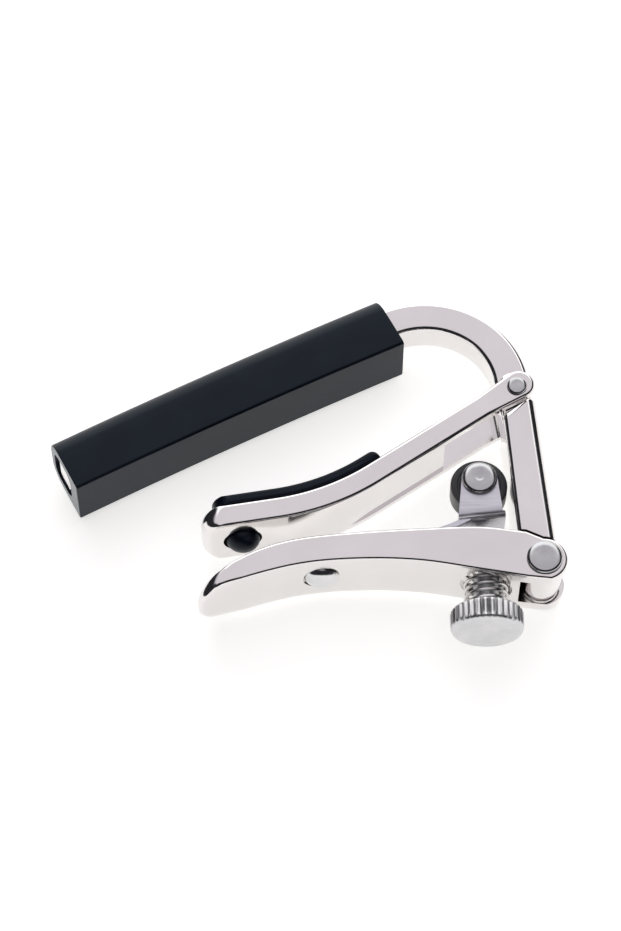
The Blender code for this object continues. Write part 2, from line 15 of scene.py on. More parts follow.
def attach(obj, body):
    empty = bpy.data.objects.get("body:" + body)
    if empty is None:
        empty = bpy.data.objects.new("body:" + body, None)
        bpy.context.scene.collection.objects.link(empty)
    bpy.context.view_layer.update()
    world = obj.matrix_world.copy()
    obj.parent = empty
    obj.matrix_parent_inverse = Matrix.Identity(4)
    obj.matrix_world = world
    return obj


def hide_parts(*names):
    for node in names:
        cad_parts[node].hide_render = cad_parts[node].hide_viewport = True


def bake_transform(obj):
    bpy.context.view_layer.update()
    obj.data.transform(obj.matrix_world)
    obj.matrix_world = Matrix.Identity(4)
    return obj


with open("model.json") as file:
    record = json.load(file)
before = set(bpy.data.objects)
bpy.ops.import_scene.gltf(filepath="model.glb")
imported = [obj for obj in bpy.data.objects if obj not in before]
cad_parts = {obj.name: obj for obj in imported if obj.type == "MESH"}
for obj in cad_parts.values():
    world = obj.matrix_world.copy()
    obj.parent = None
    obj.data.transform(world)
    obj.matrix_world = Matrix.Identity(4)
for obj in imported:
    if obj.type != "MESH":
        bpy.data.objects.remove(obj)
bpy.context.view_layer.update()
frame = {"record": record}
JOINTS = {joint["name"]: joint for joint in frame["record"]["behaviour"]["joints"]}

MM = 0.001
SLEEVE_TILT = math.radians(27.4)
TURN = Matrix.Rotation(-SLEEVE_TILT, 4, "Z")
PLACE = Matrix.Translation(Vector(JOINTS["lever_swing"]["pos_m"])) @ TURN


def drawn(point):
    """A record position, in metres, as a (u, v) point of the side view."""
    u, v, _ = (PLACE.inverted() @ Vector(point)) / MM
    return (u, v)


ARM_PIVOT = drawn(JOINTS["arm_swing"]["pos_m"])
WHEEL_AXLE = drawn(JOINTS["roller_spin"]["pos_m"])
SCREW_U = drawn(JOINTS["screw_turn"]["pos_m"])[0]
BRACKET_RIVET_U = drawn(JOINTS["bracket_flex"]["pos_m"])[0]

CAPO_HALF = 5.55
BAR_HALF = 3.0
ARM_TONGUE_HALF = 3.7
ARM_SLOT_HALF = 4.0
LEVER_SLOT_HALF = 3.25
BRACKET_HALF = 3.85
LEAF_HALF = 3.1
CHANNEL_HALF = 4.2
WHEEL_HALF = 1.95

UPRIGHT_FOOT_U = -0.4
UPRIGHT_LEAN = math.radians(5.5)
UPRIGHT_THICK = 5.6
BEND_OUTER = (-17.16, 31.14, 16.3)
BEND_INNER = (-17.08, 31.92, 10.6)
CORE_NARROWER = 0.5
FRAME_FILLET = 0.85
OUTER_FILLET = 1.6
FOOT_RADIUS = 2.95
SHOULDER_FROM_PIVOT = 2.6
SHOULDER_CORNER = 1.3
SHOULDER_ENDS = (-4.85, 1.6)
FOOT_GAP = 0.12
UPRIGHT_FRONT_U = -3.75

SLEEVE_CORNER = (-20.62, 38.74)
SLEEVE_LENGTH = 57.0
SLEEVE_WIDTH = 9.95
SLEEVE_DEPTH = 9.9
SLEEVE_BACK_RADIUS = 3.2
SLEEVE_FRONT_RADIUS = 0.5
SLEEVE_CROWN = 0.12
SLEEVE_BOW = 0.4
BORE_FROM_FACE = 2.55
BORE_TO = 8.35
BORE_HALF = 3.2
BAR_END_SETBACK = 0.25
BAR_DEPTHS = (3.0, 7.9)

ARM_SLOPE = math.radians(35.0)
ARM_TIP_SLOPE = math.radians(9.6)
ARM_KNEE = (-32.36, 10.16)
ARM_BEND_RADIUS = 36.0
ARM_TIP_U = -50.3
ARM_THICK = 3.6
ARM_EYE = (-2.78, 30.8, 2.4)
ARM_FILLET = 0.6
ARM_TIP_PLAN = 3.3
TIP_ZONE = 7.0
ARM_SLOT_REACH = 14.6
ARM_ROOT_SETBACK = 3.0
TRACK_DEPTH = 0.35
PAD_THICK = 1.6
PAD_HALF = 5.35
PAD_GAP = 0.12
PAD_TIP_U = -51.2
PAD_ROOT_U = -24.6
PAD_BEVEL = 1.0
PAD_FILLET = 0.5
PAD_NOSE = 1.2
BUTTON_U = -45.7
BUTTON_RADIUS = 2.65
BUTTON_HOLE = 2.95

LEVER_EYE = 3.55
LEVER_FILLET = 0.55
LEVER_TIP_PLAN = 4.6
LEVER_TIP_SLOPE = math.radians(40.0)
LEVER_TOP = [(-2.6, 4.75), (-9.6, 5.6), (-18.7, 5.26), (-27.9, 4.65), (-36.9, 3.6), (-43.1, 1.75),
             (-47.7, -0.9), (-52.0, -4.55)]
LEVER_FRONT = [(-51.2, -5.85), (-45.75, -3.45), (-36.8, -0.93), (-27.9, -0.08), (-18.85, -0.34),
               (-9.9, -1.8), (-2.6, -3.05)]
CHANNEL_FLOOR = 1.8
CHANNEL_ENDS = (-37.2, -5.6)
COUNTERBORE_RADIUS = 3.95
COUNTERBORE_FLOOR = -0.7
SPOT_FACE = -0.35

SHEET = 1.0
FORK_SLOPE = math.radians(8.0)
FORK_ENDS = (-12.6, -5.4)
FORK_BASE_V = 8.1
FORK_TOP_RADIUS = 2.75
LEAF_TOP = [(-11.2, 8.75), (-14.0, 7.3), (-17.2, 6.15), (-21.7, 5.35), (-27.0, 4.15), (-31.5, 3.15),
            (-36.4, 3.1)]
LEAF_TIP_V = 3.3

WHEEL_RADIUS = 4.4
KNOB_RADIUS = 5.6
KNOB_BACK = -6.45
KNOB_FRONT = -9.85
KNOB_FLUTES = 36
FLUTE_DEPTH = 0.28
THREAD_RADIUS = 1.95
THREAD_PITCH = 0.7
SCREW_TIP = 7.55
SPRING_RADIUS = 3.2
SPRING_WIRE = 0.26
SPRING_TURNS = 4.2
FIT_GAP = 0.15
LARGE_SHANK = 1.6
SMALL_SHANK = 1.0
LARGE_HEAD = 2.7
SMALL_HEAD = 1.53


# ---------------------------------------------------------------- outlines

def arc(centre, radius, start, end, steps):
    """Points on a circle from one angle to the other, in degrees."""
    angles = [math.radians(start + (end - start) * i / steps) for i in range(steps + 1)]
    return [(centre[0] + radius * math.cos(a), centre[1] + radius * math.sin(a)) for a in angles]


def rounded(corners, steps=10):
    """A closed outline through (u, v, radius) corners, each corner turned to an arc."""
    outline = []
    for i, (u, v, radius) in enumerate(corners):
        if radius == 0:
            outline.append((u, v))
            continue
        here = Vector((u, v))
        back = (Vector(corners[i - 1][:2]) - here).normalized()
        ahead = (Vector(corners[(i + 1) % len(corners)][:2]) - here).normalized()
        half = back.angle(ahead) / 2
        centre = here + (back + ahead).normalized() * radius / math.sin(half)
        spokes = [here + side * radius / math.tan(half) - centre for side in (back, ahead)]
        start, end = [math.degrees(math.atan2(spoke.y, spoke.x)) for spoke in spokes]
        end = start + (end - start + 180) % 360 - 180
        outline += arc(centre, radius, start, end, steps)
    return outline


def spline(points, steps=12):
    """A smooth open curve through every point."""
    knots = [Vector(p) for p in points]
    knots.insert(0, 2 * knots[0] - knots[1])
    knots.append(2 * knots[-1] - knots[-2])
    curve = [tuple(points[0])]
    for a, b, c, d in zip(knots, knots[1:], knots[2:], knots[3:]):
        for step in range(1, steps + 1):
            t = step / steps
            near = 2 * b + (c - a) * t
            far = (2 * a - 5 * b + 4 * c - d) * t**2 + (3 * b - a - 3 * c + d) * t**3
            curve.append(tuple((near + far) / 2))
    return curve


def offset(outline, distance, closed=True):
    """A line moved to its left by a distance: inwards, where it is counter-clockwise and closed."""
    moved = []
    for i, point in enumerate(outline):
        here = Vector(point)
        before = here - Vector(outline[i - 1])
        after = Vector(outline[(i + 1) % len(outline)]) - here
        if not closed and i == 0:
            before = after
        if not closed and i == len(outline) - 1:
            after = before
        before.normalize()
        after.normalize()
        left = Vector((-before.y - after.y, before.x + after.x)).normalized()
        stretch = max(left.dot(Vector((-before.y, before.x))), 0.5)
        moved.append(tuple(here + left * distance / stretch))
    return moved


def clipped(line, low, high):
    """The stretch of a line, drawn from right to left, between two u positions."""
    ends = []
    for edge in (high, low):
        for a, b in zip(line, line[1:]):
            if a[0] >= edge > b[0]:
                ends.append(tuple(Vector(a).lerp(Vector(b), (a[0] - edge) / (a[0] - b[0]))))
    return [ends[0]] + [p for p in line if low < p[0] < high] + [ends[1]]


def fillet_levels(half, radius, steps=6):
    """(z, inset) pairs that round a slab's rim, from its lower face to its upper face."""
    turns = [math.pi / 2 * step / steps for step in range(steps + 1)]
    lower = [(radius * (1 - math.cos(a)) - half, radius * (1 - math.sin(a))) for a in turns]
    return lower + [(-z, depth) for z, depth in reversed(lower)]


def rim_levels(half, fillet, plan_radius, steps=8):
    """Levels for a plate that has a rounded rim and a tip that is rounded in plan."""
    levels = fillet_levels(half, fillet)
    inner = half - plan_radius
    extra = [inner + (half - fillet - inner) * s / steps for s in range(steps)]
    between = [(-z, 0.0) for z in reversed(extra)] + [(z, 0.0) for z in extra]
    middle = len(levels) // 2
    return levels[:middle] + between + levels[middle:]


def blended_levels(half, fillet, larger, steps=6):
    """Fillet levels with extra ones ahead of them, for a side that is rounded more."""
    levels = fillet_levels(half, fillet)
    extra = [half - larger + (larger - fillet) * s / steps for s in range(steps)]
    between = [(-z, 0.0) for z in reversed(extra)] + [(z, 0.0) for z in extra]
    middle = len(levels) // 2
    return levels[:middle] + between + levels[middle:]


def tip_squeeze(tip_u, slope, plan_radius, half):
    """Round the corners of a tip, seen from above, by drawing its outer levels in along its slope."""
    def shape(u, v, z):
        beyond = max(abs(z) - (half - plan_radius), 0.0) / plan_radius
        drawn_in = plan_radius * (1 - math.sqrt(max(1 - beyond**2, 0.0)))
        share = min(max((tip_u + TIP_ZONE - u) / TIP_ZONE, 0.0), 1.0) ** 1.5
        return (u + drawn_in * share, v + drawn_in * share * math.tan(slope), z)
    return shape


# ---------------------------------------------------------------- meshes

def loft(rings, capped=True):
    """A bmesh skinned over rings of points; the ends are closed by flat faces or by each other."""
    bm = bmesh.new()
    loops = [[bm.verts.new(point) for point in ring] for ring in rings]
    if not capped:
        loops.append(loops[0])
    for low, high in zip(loops, loops[1:]):
        for i in range(len(low)):
            bm.faces.new((low[i - 1], low[i], high[i], high[i - 1]))
    if capped:
        bm.faces.new(loops[0])
        bm.faces.new(loops[-1])
    return bm


def slab(outline, levels, shape=None):
    """A plate with its outline in u and v; shape may move the points of each level."""
    rings = []
    for z, depth in levels:
        points = [(u, v, z) for u, v in offset(outline, depth)]
        rings.append([shape(*p) for p in points] if shape else points)
    return loft(rings)


def turned(profile, steps, pole=False):
    """A bmesh turned about Z from (radius, z) points: a ring, or a solid whose ends are on the axis."""
    angles = [2 * math.pi * i / steps for i in range(steps)]
    rings = [[(r * math.cos(a), r * math.sin(a), z) for a in angles] for r, z in profile]
    return loft(rings, capped=pole)


def along_v(bm, u, v=0.0):
    """Lay a mesh that was turned about Z along the v direction."""
    bm.transform(Matrix.Translation((u, v, 0)) @ Matrix.Rotation(-math.pi / 2, 4, "X"))
    return bm


def solid(name, bm, pivot=(0, 0, 0)):
    """An object in the row frame whose origin is the pivot and whose local axes are the drawing's."""
    bm.transform(Matrix.Scale(MM, 4) @ Matrix.Translation(-Vector(pivot)))
    bmesh.ops.recalc_face_normals(bm, faces=bm.faces)
    mesh = bpy.data.meshes.new(name)
    bm.to_mesh(mesh)
    bm.free()
    piece = bpy.data.objects.new(name, mesh)
    piece.matrix_world = PLACE @ Matrix.Translation(Vector(pivot) * MM)
    bpy.context.scene.collection.objects.link(piece)
    return piece


def combine(target, bm, operation="DIFFERENCE"):
    """Cut, join or trim with a mesh drawn in millimetres, and keep only the result."""
    tool = solid("tool", bm)
    change = target.modifiers.new("shape", "BOOLEAN")
    change.operation = operation
    change.object = tool
    change.solver = "EXACT"
    settle(target)
    bpy.data.objects.remove(tool, do_unlink=True)


def settle(target):
    """Apply every modifier."""
    bpy.context.view_layer.update()
    shown = target.evaluated_get(bpy.context.evaluated_depsgraph_get())
    result = bpy.data.meshes.new_from_object(shown)
    target.modifiers.clear()
    target.data = result


def prism(outline, half):
    """A straight-sided block drawn in the side view."""
    return loft([[(u, v, z) for u, v in outline] for z in (-half, half)])


def cylinder_across(centre, radius, reach=20.0, steps=64):
    bm = turned([(radius, -reach), (radius, reach)], steps, pole=True)
    bm.transform(Matrix.Translation((*centre, 0)))
    return bm


def cylinder_along_v(u, radius, low, high, steps=72):
    return along_v(turned([(radius, low), (radius, high)], steps, pole=True), u)


def square_up(piece):
    """Turn the mesh into the row's axes, so that the piece's own box is upright."""
    piece.data.transform(TURN)
    piece.matrix_world = Matrix.Translation(piece.matrix_world.translation)


def finish(piece, body, replaced, look, sharp=32, edge=0.0):
    """Break the cut edges, shade smoothly with true flats, and hang the piece on its body.

    A piece with no body of its own is hung on no body.
    """
    if edge:
        bevel = piece.modifiers.new("edge", "BEVEL")
        bevel.width = edge * MM
        bevel.segments = 3
        bevel.limit_method = "ANGLE"
        bevel.angle_limit = math.radians(38)
        bevel.miter_outer = "MITER_ARC"
        settle(piece)
    mesh = piece.data
    mesh.materials.clear()
    mesh.materials.append(look)
    mesh.shade_smooth()
    mesh.set_sharp_from_angle(angle=math.radians(sharp))
    weight = piece.modifiers.new("flats", "WEIGHTED_NORMAL")
    weight.keep_sharp = True
    weight.weight = 80
    square_up(piece)
    if body:
        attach(piece, body)
    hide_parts(replaced)
    return piece


# ---------------------------------------------------------------- materials

def nodes_of(name):
    made = bpy.data.materials.new(name)
    made.use_nodes = True
    return made, made.node_tree, made.node_tree.nodes["Principled BSDF"]


def math_node(tree, operation, *values):
    """A Math node fed by numbers or by other nodes' outputs."""
    node = tree.nodes.new("ShaderNodeMath")
    node.operation = operation
    for socket, value in zip(node.inputs, values):
        if isinstance(value, (int, float)):
            socket.default_value = value
        else:
            tree.links.new(value, socket)
    return node.outputs[0]


def drawing_axes(tree):
    """A piece's own coordinates, with X and Y along the drawing's u and v."""
    where = tree.nodes.new("ShaderNodeTexCoord")
    turn = tree.nodes.new("ShaderNodeVectorRotate")
    turn.rotation_type = "Z_AXIS"
    turn.inputs["Angle"].default_value = SLEEVE_TILT
    tree.links.new(where.outputs["Object"], turn.inputs["Vector"])
    return turn.outputs["Vector"]


def noise(tree, scale, stretch=(1, 1, 1), detail=3.0, rough=0.55):
    """Noise in the piece's own coordinates; scale is in features per metre."""
    mapping = tree.nodes.new("ShaderNodeMapping")
    mapping.inputs["Scale"].default_value = stretch
    pattern = tree.nodes.new("ShaderNodeTexNoise")
    pattern.inputs["Scale"].default_value = scale
    pattern.inputs["Detail"].default_value = detail
    pattern.inputs["Roughness"].default_value = rough
    tree.links.new(drawing_axes(tree), mapping.inputs["Vector"])
    tree.links.new(mapping.outputs["Vector"], pattern.inputs["Vector"])
    return pattern.outputs["Fac"]


def from_axis(tree, axis):
    """Distance from a turned piece's own axis, in metres."""
    flatten = tree.nodes.new("ShaderNodeVectorMath")
    flatten.operation = "MULTIPLY"
    flatten.inputs[1].default_value = (1, 1, 0) if axis == "Z" else (1, 0, 1)
    length = tree.nodes.new("ShaderNodeVectorMath")
    length.operation = "LENGTH"
    tree.links.new(drawing_axes(tree), flatten.inputs[0])
    tree.links.new(flatten.outputs[0], length.inputs[0])
    return length.outputs["Value"]


def spread(tree, value, low, high):
    """A value between 0.25 and 0.75, as noise gives it, spread over another range."""
    node = tree.nodes.new("ShaderNodeMapRange")
    node.inputs["From Min"].default_value = 0.25
    node.inputs["From Max"].default_value = 0.75
    node.inputs["To Min"].default_value = low
    node.inputs["To Max"].default_value = high
    tree.links.new(value, node.inputs["Value"])
    return node.outputs["Result"]


def tint(tree, shader, value, dark, light):
    """Base colour between two shades."""
    ramp = tree.nodes.new("ShaderNodeValToRGB")
    ramp.color_ramp.elements[0].position = 0.3
    ramp.color_ramp.elements[0].color = (*dark, 1)
    ramp.color_ramp.elements[1].position = 0.7
    ramp.color_ramp.elements[1].color = (*light, 1)
    tree.links.new(value, ramp.inputs["Fac"])
    tree.links.new(ramp.outputs["Color"], shader.inputs["Base Color"])


def relief(tree, shader, height, depth, strength=1.0):
    """Surface relief of a height in metres."""
    bump = tree.nodes.new("ShaderNodeBump")
    bump.inputs["Distance"].default_value = depth
    bump.inputs["Strength"].default_value = strength
    tree.links.new(height, bump.inputs["Height"])
    tree.links.new(bump.outputs["Normal"], shader.inputs["Normal"])


def nickel_plate(name):
    """Polished plate: a faint haze, and the ghost of the polishing lines along the piece."""
    made, tree, shader = nodes_of(name)
    shader.inputs["Metallic"].default_value = 1.0
    haze = noise(tree, 90, detail=4.0)
    lines = noise(tree, 500, (0.25, 3.0, 3.0), 2.0)
    tint(tree, shader, haze, (0.775, 0.755, 0.745), (0.825, 0.805, 0.795))
    rough = math_node(tree, "ADD", spread(tree, haze, 0.085, 0.14), spread(tree, lines, -0.015, 0.02))
    tree.links.new(rough, shader.inputs["Roughness"])
    relief(tree, shader, lines, 0.0000012)
    return made


def satin_sheet(name):
    """Rolled sheet steel with a fine directional grain."""
    made, tree, shader = nodes_of(name)
    shader.inputs["Metallic"].default_value = 1.0
    shader.inputs["Anisotropic"].default_value = 0.35
    grain = noise(tree, 900, (0.12, 2.2, 2.2), 3.0)
    tint(tree, shader, grain, (0.50, 0.49, 0.53), (0.62, 0.61, 0.66))
    tree.links.new(spread(tree, grain, 0.24, 0.36), shader.inputs["Roughness"])
    relief(tree, shader, grain, 0.000004)
    return made


def turned_steel(name, axis, colour=0.5, rough=0.2, lines=9000.0):
    """Bright steel from the lathe: fine rings about the piece's axis."""
    made, tree, shader = nodes_of(name)
    shader.inputs["Metallic"].default_value = 1.0
    shader.inputs["Anisotropic"].default_value = 0.4
    patch = noise(tree, 350, detail=4.0)
    rings = math_node(tree, "SINE", math_node(tree, "MULTIPLY", from_axis(tree, axis), lines))
    wander = math_node(tree, "MULTIPLY", rings, patch)
    tint(tree, shader, patch, (colour - 0.07, colour - 0.065, colour - 0.05), (colour + 0.04,) * 3)
    tree.links.new(spread(tree, patch, rough - 0.05, rough + 0.06), shader.inputs["Roughness"])
    relief(tree, shader, wander, 0.000006)
    return made


def spring_wire(name):
    made, tree, shader = nodes_of(name)
    shader.inputs["Metallic"].default_value = 1.0
    drawn_lines = noise(tree, 1500, (1.0, 0.3, 1.0), 3.0)
    tint(tree, shader, drawn_lines, (0.62, 0.61, 0.60), (0.76, 0.75, 0.74))
    tree.links.new(spread(tree, drawn_lines, 0.16, 0.28), shader.inputs["Roughness"])
    relief(tree, shader, drawn_lines, 0.000002)
    return made


def black_rubber(name, dark, light, rough, grain):
    """Moulded rubber: a very fine grain, slightly cloudy colour, soft gloss."""
    made, tree, shader = nodes_of(name)
    shader.inputs["Specular IOR Level"].default_value = 0.24
    shader.inputs["Specular Tint"].default_value = (0.72, 0.88, 1.0, 1)
    cloud = noise(tree, 140, detail=5.0)
    fine = noise(tree, grain, detail=3.0)
    tint(tree, shader, cloud, dark, light)
    mixed = math_node(tree, "ADD", spread(tree, cloud, rough - 0.04, rough + 0.04),
                      spread(tree, fine, -0.03, 0.03))
    tree.links.new(mixed, shader.inputs["Roughness"])
    relief(tree, shader, fine, 0.000012)
    return made


def black_acetal(name):
    """Turned plastic roller: rings on its faces, a soft gloss."""
    made, tree, shader = nodes_of(name)
    cloud = noise(tree, 300, detail=4.0)
    rings = math_node(tree, "SINE", math_node(tree, "MULTIPLY", from_axis(tree, "Z"), 12000.0))
    tint(tree, shader, cloud, (0.008, 0.009, 0.012), (0.016, 0.017, 0.021))
    tree.links.new(spread(tree, cloud, 0.28, 0.38), shader.inputs["Roughness"])
    relief(tree, shader, rings, 0.000004)
    return made


# ---------------------------------------------------------------- layout helpers

def upright(v, side, thick=UPRIGHT_THICK):
    """A point on the upright's left (-1) or right (+1) wall, at a height above the lever pivot."""
    middle = UPRIGHT_FOOT_U - v * math.tan(UPRIGHT_LEAN)
    return (middle + side * thick / 2 / math.cos(UPRIGHT_LEAN), v)


def sleeve_point(along, depth):
    """A point in the side view, from the sleeve's corner: along the sleeve and behind its string face."""
    back = Vector((-math.cos(SLEEVE_TILT), -math.sin(SLEEVE_TILT)))
    outwards = Vector((-math.sin(SLEEVE_TILT), math.cos(SLEEVE_TILT)))
    return tuple(Vector(SLEEVE_CORNER) + along * back + depth * outwards)


def arm_line(steps=30, straight=8):
    """The middle line of the neck arm, from its pivot end to its tip."""
    turn = (ARM_SLOPE - ARM_TIP_SLOPE) / 2
    reach = ARM_BEND_RADIUS * math.tan(turn)
    knee = Vector(ARM_KNEE)
    root_way = Vector((math.cos(ARM_SLOPE), math.sin(ARM_SLOPE)))
    centre = knee + root_way * reach + Vector((-root_way.y, root_way.x)) * ARM_BEND_RADIUS
    first, final = [math.degrees(slope) - 90 for slope in (ARM_SLOPE, ARM_TIP_SLOPE)]
    bend = arc(centre, ARM_BEND_RADIUS, first, final, steps)
    root = knee + root_way * (ARM_PIVOT[0] - ARM_ROOT_SETBACK - knee.x) / root_way.x
    from_root = [tuple(root.lerp(Vector(bend[0]), i / straight)) for i in range(straight)]
    last = Vector(bend[-1])
    tip = Vector((ARM_TIP_U, last.y - (last.x - ARM_TIP_U) * math.tan(ARM_TIP_SLOPE)))
    return from_root + bend + [tuple(last.lerp(tip, i / straight)) for i in range(1, straight + 1)]


# ---------------------------------------------------------------- pieces

def make_frame_bar(look):
    lean = math.degrees(UPRIGHT_LEAN)
    bend_end = 90 + math.degrees(SLEEVE_TILT)
    core = UPRIGHT_THICK - CORE_NARROWER
    bar_end = SLEEVE_LENGTH - BAR_END_SETBACK
    near, far = BAR_DEPTHS
    outline = arc((0, 0), FOOT_RADIUS, 200, 350, 30)
    outline += [upright(6.0, 1, core), upright(25.0, 1, core)]
    outline += arc(BEND_OUTER[:2], BEND_OUTER[2], lean, bend_end, 64)
    outline += [sleeve_point(bar_end - 1.0, far), sleeve_point(bar_end, far - 1.0)]
    outline += [sleeve_point(bar_end, near + 1.0), sleeve_point(bar_end - 1.0, near)]
    outline += arc(BEND_INNER[:2], BEND_INNER[2], bend_end, lean, 64)
    outline += [upright(25.0, -1, core), upright(7.0, -1, core), (-FOOT_RADIUS, 5.6)]
    along = Vector((math.cos(ARM_SLOPE), math.sin(ARM_SLOPE)))
    stop = Vector(ARM_PIVOT) + SHOULDER_FROM_PIVOT * Vector((along.y, -along.x))
    left, right = [stop + along * end for end in SHOULDER_ENDS]
    front = rounded([(*upright(1.8, 1), 0), (*right, 0.7), (*left, SHOULDER_CORNER)])
    front += [(UPRIGHT_FRONT_U, 3.4), (-0.5, 1.8)]

    def outer_side(u, v, z):
        """The side away from the neck is rounded more than the other."""
        beyond = abs(z) - CAPO_HALF
        small = FRAME_FILLET - math.sqrt(max(FRAME_FILLET**2 - max(beyond + FRAME_FILLET, 0) ** 2, 0))
        large = OUTER_FILLET - math.sqrt(max(OUTER_FILLET**2 - max(beyond + OUTER_FILLET, 0) ** 2, 0))
        share = min(max((u - upright(v, 0)[0]) / 1.5, 0.0), 1.0)
        return (u - (large - small) * share, v, z)

    levels = blended_levels(CAPO_HALF, FRAME_FILLET, OUTER_FILLET)
    bar = solid("bent_bar", slab(front, levels, outer_side))
    lever_room = arc((0, 0), LEVER_EYE + FOOT_GAP, 0, 90, 24)
    lever_room += [(u, v + FOOT_GAP) for u, v in spline(LEVER_TOP[:3])] + [(-18.0, -6.0), (3.6, -6.0)]
    combine(bar, prism(lever_room, 9.0))
    combine(bar, slab(outline, fillet_levels(BAR_HALF, FRAME_FILLET)), "UNION")
    tongue = rounded([(*upright(25.5, -1, 5.0), 1.0), (*upright(25.5, 1, 5.0), 1.0),
                      (*upright(34.0, 1, 4.4), 2.1), (*upright(34.0, -1, 4.4), 2.1)])
    combine(bar, slab(tongue, fillet_levels(ARM_TONGUE_HALF, 0.6)), "UNION")
    combine(bar, cylinder_across(ARM_PIVOT, SMALL_SHANK + FIT_GAP))
    combine(bar, cylinder_across((0, 0), LARGE_SHANK + FIT_GAP))
    return finish(bar, "frame", "frame_bar", look)


def make_string_sleeve(look, end_sheen_look):
    half = SLEEVE_WIDTH / 2
    crown = half + SLEEVE_CROWN
    front = SLEEVE_FRONT_RADIUS
    back = SLEEVE_BACK_RADIUS
    section = rounded([(0, -half, front), (SLEEVE_DEPTH / 2, -crown, 0), (SLEEVE_DEPTH, -half, back),
                       (SLEEVE_DEPTH, half, back), (SLEEVE_DEPTH / 2, crown, 0), (0, half, front)], 12)
    middle = SLEEVE_DEPTH / 2
    stations = 40
    rim = [(0.0, 0.22), (0.03, 0.1), (0.1, 0.03), (0.22, 0.0)]
    steps = [(along, inset) for along, inset in rim]
    inside = SLEEVE_LENGTH - 2 * rim[-1][0]
    steps += [(rim[-1][0] + inside * i / stations, 0.0) for i in range(1, stations)]
    steps += [(SLEEVE_LENGTH - along, inset) for along, inset in reversed(rim)]
    rings = []
    for along, inset in steps:
        share = 2 * along / SLEEVE_LENGTH - 1
        bow = SLEEVE_BOW * (0.5 - share * share)
        ring = []
        for depth, z in section:
            drawn_in = 1 - inset / middle
            point = sleeve_point(along, middle + (depth - middle) * drawn_in + bow)
            ring.append((*point, z * drawn_in))
        rings.append(ring)
    sleeve = solid("rubber_sleeve", loft(rings))
    corners = [(BORE_FROM_FACE, -BORE_HALF, 1.9), (BORE_TO, -BORE_HALF, 1.9),
               (BORE_TO, BORE_HALF, 1.9), (BORE_FROM_FACE, BORE_HALF, 1.9)]
    bore = [[(*sleeve_point(along, depth), z) for depth, z in rounded(corners, 8)]
            for along in (-2.0, SLEEVE_LENGTH + 2.0)]
    combine(sleeve, loft(bore))
    finish(sleeve, "frame", "string_sleeve", look, edge=0.08)
    # The end faces take a second rubber. Its glossier finish is real, but its lighter base colour is a
    # painted sheen standing in for the floor's reflection.
    sleeve.data.materials.append(end_sheen_look)
    for face in sleeve.data.polygons:
        if abs(face.normal.x) > 0.97:
            face.material_index = 1
    return sleeve


def make_neck_arm(look):
    middle = arm_line()
    lower = offset(middle, ARM_THICK / 2, closed=False)
    upper = offset(middle, -ARM_THICK / 2, closed=False)
    slope = math.degrees(ARM_SLOPE)
    tip_slope = math.degrees(ARM_TIP_SLOPE)
    eye = arc(ARM_EYE[:2], ARM_EYE[2], slope - 90, slope + 90, 32)
    tip = arc(middle[-1], ARM_THICK / 2, 90 + tip_slope, 270 + tip_slope, 18)
    outline = lower[-2:0:-1] + eye + upper[1:-1] + tip
    shape = tip_squeeze(ARM_TIP_U - ARM_THICK / 2, ARM_TIP_SLOPE, ARM_TIP_PLAN, CAPO_HALF)
    arm = solid("swing_arm", slab(outline, rim_levels(CAPO_HALF, ARM_FILLET, ARM_TIP_PLAN), shape))
    along = Vector((math.cos(ARM_SLOPE), math.sin(ARM_SLOPE)))
    normal = Vector((-along.y, along.x))
    slot_end = Vector(ARM_PIVOT) - along * ARM_SLOT_REACH
    slot = [slot_end - normal * 8, slot_end + along * 24 - normal * 8,
            slot_end + along * 24 + normal * 8, slot_end + normal * 8]
    combine(arm, prism(slot, ARM_SLOT_HALF))
    under = Vector(lower[1])
    track = [under - along * 60 - normal * 6, under + along * 20 - normal * 6,
             under + along * 20 + normal * TRACK_DEPTH, under - along * 60 + normal * TRACK_DEPTH]
    combine(arm, prism(track, ARM_SLOT_HALF))
    combine(arm, cylinder_across(ARM_PIVOT, SMALL_SHANK + FIT_GAP))
    combine(arm, cylinder_along_v(BUTTON_U, BUTTON_HOLE, 0.0, 20.0))
    return finish(arm, "arm", "neck_arm", look)


def make_neck_pad(look):
    line = offset(arm_line(), -ARM_THICK / 2 - PAD_GAP, closed=False)
    under = clipped(line, PAD_TIP_U + PAD_BEVEL, PAD_ROOT_U)
    over = offset(under, -PAD_THICK, closed=False)
    corner = Vector(over[0])
    along = (Vector(over[1]) - corner).normalized() * PAD_NOSE
    down = (Vector(under[0]) - corner).normalized() * PAD_NOSE
    steps = 8
    turns = [math.pi / 2 * step / steps for step in range(steps + 1)]
    nose = [tuple(corner + along * (1 - math.cos(a)) + down * (1 - math.sin(a))) for a in turns]
    shape = tip_squeeze(PAD_TIP_U, ARM_TIP_SLOPE, ARM_TIP_PLAN, PAD_HALF)
    bm = slab(under[::-1] + nose + over[1:], rim_levels(PAD_HALF, PAD_FILLET, ARM_TIP_PLAN), shape)
    pad = solid("rubber_pad", bm)
    button = [(0.05, 4.22), (0.7, 4.27), (1.3, 4.44), (1.8, 4.72), (2.2, 5.1), (2.5, 5.55),
              (BUTTON_RADIUS, 6.1), (BUTTON_RADIUS, 10.2)]
    combine(pad, along_v(turned(button, 64, pole=True), BUTTON_U), "UNION")
    return finish(pad, "arm", "neck_pad", look)


